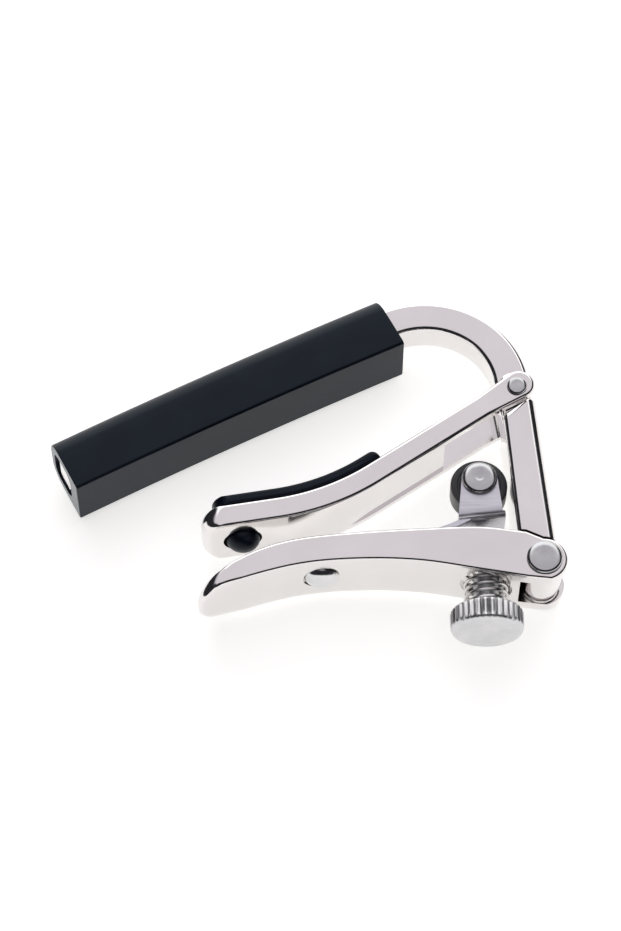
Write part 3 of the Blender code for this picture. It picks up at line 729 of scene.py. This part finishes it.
def make_lever(look):
    upper, lower = Vector(LEVER_TOP[-1]), Vector(LEVER_FRONT[0])
    radius = (upper - lower).length / 2
    turn = math.degrees(math.atan2(upper.y - lower.y, upper.x - lower.x))
    tip = arc((upper + lower) / 2, radius, turn, turn + 180, 16)
    outline = spline(LEVER_FRONT) + arc((0, 0), LEVER_EYE, 285, 450, 48) + spline(LEVER_TOP) + tip[1:-1]
    shape = tip_squeeze(LEVER_TOP[-1][0] - radius / 2, LEVER_TIP_SLOPE, LEVER_TIP_PLAN, CAPO_HALF)
    lever = solid("handle", slab(outline, rim_levels(CAPO_HALF, LEVER_FILLET, LEVER_TIP_PLAN), shape))
    foot_slot = [(-4.4, -8.0), (9.0, -8.0), (9.0, 9.0), (-3.3, 9.0), (-3.3, -0.5)]
    combine(lever, prism(foot_slot, LEVER_SLOT_HALF))
    left, right = CHANNEL_ENDS
    channel = [(left, CHANNEL_FLOOR), (right, CHANNEL_FLOOR), (right, 9.0), (left, 9.0)]
    combine(lever, prism(channel, CHANNEL_HALF))
    combine(lever, cylinder_across((0, 0), LARGE_SHANK + FIT_GAP))
    combine(lever, cylinder_along_v(SCREW_U, THREAD_RADIUS + FIT_GAP, -8.0, 3.0))
    combine(lever, cylinder_along_v(SCREW_U, COUNTERBORE_RADIUS, -8.0, COUNTERBORE_FLOOR))
    combine(lever, cylinder_along_v(BRACKET_RIVET_U, LARGE_SHANK + FIT_GAP, -4.0, 3.0))
    combine(lever, cylinder_along_v(BRACKET_RIVET_U, LARGE_HEAD + 0.2, -4.0, SPOT_FACE))
    return finish(lever, "lever", "lever", look)


def make_roller_bracket(look):
    outer = BRACKET_HALF
    inner = BRACKET_HALF - SHEET
    section = rounded([(-outer, 12.0, 0), (-outer, 0.0, 1.5), (outer, 0.0, 1.5), (outer, 12.0, 0),
                       (inner, 12.0, 0), (inner, SHEET, 0.5), (-inner, SHEET, 0.5), (-inner, 12.0, 0)], 10)
    along = Vector((math.cos(FORK_SLOPE), math.sin(FORK_SLOPE)))
    normal = Vector((-along.y, along.x))
    base = Vector((WHEEL_AXLE[0], FORK_BASE_V))
    rings = [[(*(base + along * reach + normal * height), z) for z, height in section]
             for reach in (-6.0, 6.0)]
    bracket = solid("fork_bracket", loft(rings))
    left = base + along * (FORK_ENDS[0] - base.x)
    right = base + along * (FORK_ENDS[1] - base.x)
    side = [(*(left - normal * 2), 0), (*(right - normal * 2), 0), (*(right + normal * 0.8), 0.3)]
    trim = rounded(side, 6) + arc(WHEEL_AXLE, FORK_TOP_RADIUS, 10, 170, 32) + [tuple(left + normal * 0.8)]
    combine(bracket, prism(trim, 9.0), "INTERSECT")
    over = spline(LEAF_TOP, 12)
    under = offset(over, SHEET, closed=False)
    combine(bracket, slab(over + under[::-1], fillet_levels(LEAF_HALF, 0.12, 3)), "UNION")
    combine(bracket, cylinder_across(WHEEL_AXLE, LARGE_SHANK + FIT_GAP))
    combine(bracket, cylinder_along_v(BRACKET_RIVET_U, LARGE_SHANK + FIT_GAP, 0.0, 6.0))
    return finish(bracket, "roller_arm", "roller_bracket", look, edge=0.1)


def make_bracket_rivet(look):
    front = SPOT_FACE - FIT_GAP
    tail = LEAF_TIP_V + FIT_GAP
    profile = [(0.05, front - 1.06), (0.7, front - 1.04), (1.3, front - 0.97), (1.9, front - 0.78),
               (2.35, front - 0.48), (2.62, front - 0.15), (LARGE_HEAD, front), (LARGE_SHANK, front),
               (LARGE_SHANK, tail), (2.3, tail), (2.3, tail + 0.2), (1.9, tail + 0.45), (1.3, tail + 0.55)]
    bm = along_v(turned(profile, 64, pole=True), BRACKET_RIVET_U)
    rivet = solid("leaf_rivet", bm, (BRACKET_RIVET_U, 0, 0))
    return finish(rivet, "lever", "bracket_rivet", look)


def make_roller_wheel(look):
    bore = LARGE_SHANK + FIT_GAP
    half = WHEEL_HALF
    face = WHEEL_RADIUS - 0.35
    profile = [(bore, -half), (2.9, -half), (3.0, 0.12 - half), (3.3, 0.12 - half), (3.4, -half),
               (face, -half), (WHEEL_RADIUS - 0.1, 0.1 - half), (WHEEL_RADIUS, 0.35 - half)]
    profile += [(r, -z) for r, z in reversed(profile)]
    bm = turned(profile, 96)
    bm.transform(Matrix.Translation((*WHEEL_AXLE, 0)))
    wheel = solid("roller", bm, (*WHEEL_AXLE, 0))
    return finish(wheel, "roller", "roller_wheel", look)


def make_thumb_screw(look):
    """Knob with straight knurling, and a shank with a real helical thread."""
    count = KNOB_FLUTES * 10
    turns = [2 * math.pi * i / count for i in range(count)]

    def ring(radius, v, share):
        dips = [FLUTE_DEPTH * share * (0.5 - 0.5 * math.cos(a * KNOB_FLUTES)) ** 0.6 for a in turns]
        return [((radius - d) * math.cos(a), (radius - d) * math.sin(a), v) for a, d in zip(turns, dips)]

    rim = KNOB_RADIUS
    face = KNOB_FRONT
    rings = [ring(0.35, face + 0.05, 0), ring(0.5, face + 0.02, 0), ring(0.62, face, 0),
             ring(rim - 1.0, face, 0), ring(rim - 0.7, face + 0.06, 0), ring(rim - 0.35, face + 0.22, 0),
             ring(rim - 0.12, face + 0.5, 0.2), ring(rim - 0.03, face + 0.8, 0.7),
             ring(rim, face + 1.05, 1), ring(rim, KNOB_BACK - 0.4, 1), ring(rim - 0.1, KNOB_BACK - 0.2, 0.7),
             ring(rim - 0.35, KNOB_BACK, 0)]
    knob = solid("knurled_knob", along_v(loft(rings), SCREW_U), (SCREW_U, 0, 0))
    finish(knob, "screw", "thumb_screw", look)

    around = 48
    low, high = KNOB_BACK - 0.2, SCREW_TIP
    per_turn = 10
    levels = round((high - low) / THREAD_PITCH * per_turn)
    rings = []
    for level in range(levels + 1):
        v = low + (high - low) * level / levels
        taper = min(1.0, (high - v) / 0.9)
        circle = []
        for i in range(around):
            a = 2 * math.pi * i / around
            phase = (v / THREAD_PITCH - i / around) % 1.0
            crest = max(0.0, 1 - abs(phase - 0.5) / 0.42)
            radius = (THREAD_RADIUS - 0.32) + 0.32 * min(crest * 1.3, 1.0)
            radius = radius * (0.62 + 0.38 * taper) - 0.02
            circle.append((radius * math.cos(a), radius * math.sin(a), v))
        rings.append(circle)
    shank = solid("threaded_shank", along_v(loft(rings), SCREW_U), (SCREW_U, 0, 0))
    shank.data.materials.append(look)
    shank.data.shade_smooth()
    square_up(shank)
    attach(shank, "screw")
    return knob


def make_screw_spring(look):
    steps = round(SPRING_TURNS * 60)
    low = KNOB_BACK + SPRING_WIRE + FIT_GAP
    high = COUNTERBORE_FLOOR - SPRING_WIRE - FIT_GAP
    rise = Vector((0, 0, 1))
    section = [2 * math.pi * k / 14 for k in range(14)]
    rings = []
    for i in range(steps + 1):
        turn = 2 * math.pi * SPRING_TURNS * i / steps
        spoke = Vector((math.cos(turn), math.sin(turn), 0))
        middle = spoke * SPRING_RADIUS + rise * (low + (high - low) * i / steps)
        rings.append([middle + SPRING_WIRE * (spoke * math.cos(a) + rise * math.sin(a)) for a in section])
    spring = solid("coil_spring", along_v(loft(rings), SCREW_U), (SCREW_U, 0, 0))
    finish(spring, None, "screw_spring", look, sharp=60)
    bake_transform(spring)
    return spring


def make_cross_rivet(name, body, replaced, centre, shank, head, half, proud, look, dimple=0.0):
    """A rivet with turned flat heads and bevelled rims; a dimple marks a clinched centre."""
    inner = half + FIT_GAP
    outer = half + proud
    rise = outer - inner
    upper = [(shank, inner), (head, inner), (head, inner + 0.3 * rise),
             (head - 0.06 * rise, inner + 0.45 * rise),
             (head - 0.22 * rise, inner + 0.68 * rise), (head - 0.5 * rise, inner + 0.85 * rise),
             (0.72 * head, outer - 0.03 * rise), (0.66 * head, outer), (0.3 * head, outer)]
    upper += [(0.22 * head, outer - 0.5 * dimple), (0.1 * head, outer - dimple), (0.02, outer - dimple)]
    lower = [(r, -z) for r, z in reversed(upper)]
    bm = turned(lower + upper, 72, pole=True)
    bm.transform(Matrix.Translation((*centre, 0)))
    rivet = solid(name, bm, (*centre, 0))
    return finish(rivet, body, replaced, look)


# ---------------------------------------------------------------- stage, light and camera

BLACK_CARD = (0.012, 0.012, 0.014)


def make_floor():
    """A wide pale floor just under the object."""
    reach = 3.0
    drop = -0.0001
    bm = bmesh.new()
    corners = [(-reach, -reach, drop), (reach, -reach, drop), (reach, reach, drop), (-reach, reach, drop)]
    bm.faces.new([bm.verts.new(corner) for corner in corners])
    mesh = bpy.data.meshes.new("floor")
    bm.to_mesh(mesh)
    bm.free()
    floor = bpy.data.objects.new("floor", mesh)
    bpy.context.scene.collection.objects.link(floor)
    made, _, shader = nodes_of("pale_floor")
    shader.inputs["Base Color"].default_value = (0.9, 0.9, 0.895, 1)
    shader.inputs["Roughness"].default_value = 0.9
    shader.inputs["Specular IOR Level"].default_value = 0.1
    shader.inputs["Emission Color"].default_value = (1, 0.995, 0.97, 1)
    shader.inputs["Emission Strength"].default_value = 0.66
    mesh.materials.append(made)


def sky_ramp(tree, value, stops):
    ramp = tree.nodes.new("ShaderNodeValToRGB")
    ramp.color_ramp.interpolation = "EASE"
    band = ramp.color_ramp.elements
    while len(band) < len(stops):
        band.new(0.5)
    for element, (elevation, colour) in zip(band, stops):
        element.position = (elevation + 90) / 180
        element.color = (*colour, 1)
    tree.links.new(value, ramp.inputs["Fac"])
    return ramp.outputs["Color"]


def part_along(tree, direction, axis):
    """How far a direction points along an axis."""
    node = tree.nodes.new("ShaderNodeVectorMath")
    node.operation = "DOT_PRODUCT"
    node.inputs[1].default_value = axis
    tree.links.new(direction, node.inputs[0])
    return node.outputs["Value"]


def soft_step(tree, value, low, high):
    node = tree.nodes.new("ShaderNodeMapRange")
    node.interpolation_type = "SMOOTHSTEP"
    node.inputs["From Min"].default_value = low
    node.inputs["From Max"].default_value = high
    tree.links.new(value, node.inputs["Value"])
    return node.outputs["Result"]


def blend_colours(tree, share, first, second):
    node = tree.nodes.new("ShaderNodeMix")
    node.data_type = "RGBA"
    tree.links.new(share, node.inputs["Factor"])
    for colour, socket in zip((first, second), [i for i in node.inputs if i.type == "RGBA"]):
        tree.links.new(colour, socket)
    return [out for out in node.outputs if out.type == "RGBA"][0]


def make_world():
    """A softbox above and behind the object, black cards low down at the sides and in front.

    The cards are there for the metal to reflect; the camera itself sees a plain white backdrop.
    """
    world = bpy.data.worlds.new("studio")
    bpy.context.scene.world = world
    world.use_nodes = True
    tree = world.node_tree
    backdrop = tree.nodes["Background"]
    where = tree.nodes.new("ShaderNodeTexCoord")
    split = tree.nodes.new("ShaderNodeSeparateXYZ")
    tree.links.new(where.outputs["Generated"], split.inputs[0])
    elevation = math_node(tree, "ARCSINE", split.outputs["Z"])
    height = math_node(tree, "ADD", math_node(tree, "DIVIDE", elevation, math.pi), 0.5)
    grey = (0.44, 0.42, 0.445)
    behind = sky_ramp(tree, height, [(-90, (1, 1, 1)), (-2, (1, 1, 1)), (2, (0.9, 0.9, 0.92)),
                                     (12, (1, 1, 1)), (46, (1, 1, 1)), (54, grey), (90, grey)])
    beside = sky_ramp(tree, height, [(-90, (1, 1, 1)), (-3, (0.9, 0.9, 0.9)), (0, BLACK_CARD),
                                     (40, BLACK_CARD), (50, grey), (90, grey)])
    ahead = sky_ramp(tree, height, [(-90, (1, 1, 1)), (-3, (0.9, 0.9, 0.9)), (0, BLACK_CARD),
                                    (50, BLACK_CARD), (59, grey), (90, grey)])
    across = TURN @ Vector((1, 0, 0))
    away = TURN @ Vector((0, 1, 0))
    sideways = math_node(tree, "ABSOLUTE", part_along(tree, where.outputs["Generated"], across))
    forwards = part_along(tree, where.outputs["Generated"], away)
    low_sky = blend_colours(tree, soft_step(tree, sideways, 0.36, 0.52), behind, beside)
    sky = blend_colours(tree, soft_step(tree, forwards, -0.12, 0.12), ahead, low_sky)
    plain = tree.nodes.new("ShaderNodeRGB")
    plain.outputs[0].default_value = (1, 1, 1, 1)
    camera_ray = tree.nodes.new("ShaderNodeLightPath").outputs["Is Camera Ray"]
    shown = blend_colours(tree, camera_ray, sky, plain.outputs[0])
    tree.links.new(shown, backdrop.inputs["Color"])
    backdrop.inputs["Strength"].default_value = 1.8


def make_camera():
    """Looks down at the side of the capo, turned with the closed lever's direction."""
    camera = bpy.data.cameras.new("camera")
    camera.lens = 116.0
    camera.sensor_width = 36.0
    camera.clip_start = 0.01
    camera.dof.use_dof = False
    holder = bpy.data.objects.new("camera", camera)
    bpy.context.scene.collection.objects.link(holder)
    elevation = math.radians(60.5)
    distance = 0.4666
    aim = PLACE @ (Vector((-35.33, 19.14, 0)) * MM)
    back = TURN @ Vector((0, -math.cos(elevation), math.sin(elevation)))
    holder.location = aim + back * distance
    holder.rotation_euler = (math.pi / 2 - elevation, 0, -SLEEVE_TILT)
    bpy.context.scene.camera = holder


def main():
    bpy.context.scene.view_settings.view_transform = "Standard"
    plate = nickel_plate("nickel_plate")
    make_frame_bar(plate)
    make_neck_arm(plate)
    make_lever(plate)
    skin = black_rubber("sleeve_rubber", (0.001, 0.003, 0.009), (0.003, 0.006, 0.014), 0.34, 2600)
    # Glossier rubber for the sleeve's end faces. Its lighter base colour is a painted sheen for the white
    # floor's reflection at a grazing angle; the higher specular level is real gloss.
    cut = black_rubber("end_face_rubber_painted_sheen", (0.05, 0.055, 0.065), (0.13, 0.14, 0.16), 0.3, 1800)
    cut.node_tree.nodes["Principled BSDF"].inputs["Specular IOR Level"].default_value = 0.8
    make_string_sleeve(skin, cut)
    make_neck_pad(black_rubber("pad_rubber", (0.001, 0.002, 0.008), (0.003, 0.004, 0.012), 0.38, 2200))
    make_roller_bracket(satin_sheet("satin_sheet"))
    make_roller_wheel(black_acetal("black_acetal"))
    lathe = turned_steel("lathe_turned_steel", "Z")
    make_bracket_rivet(turned_steel("rivet_steel", "Y", 0.72))
    make_thumb_screw(turned_steel("knob_steel", "Y", 0.68, 0.36, 6000.0))
    make_screw_spring(spring_wire("spring_wire"))
    make_cross_rivet("arm_rivet", "arm", "arm_pivot_rivet", ARM_PIVOT, SMALL_SHANK, SMALL_HEAD,
                     CAPO_HALF, 0.65, lathe)
    make_cross_rivet("lever_rivet", "lever", "lever_pivot_rivet", (0, 0), LARGE_SHANK, LARGE_HEAD,
                     CAPO_HALF, 0.85, lathe)
    make_cross_rivet("roller_rivet", "roller_arm", "roller_axle_rivet", WHEEL_AXLE, LARGE_SHANK, LARGE_HEAD,
                     BRACKET_HALF, 0.95, lathe, dimple=0.06)
    make_floor()
    make_world()
    make_camera()


main()
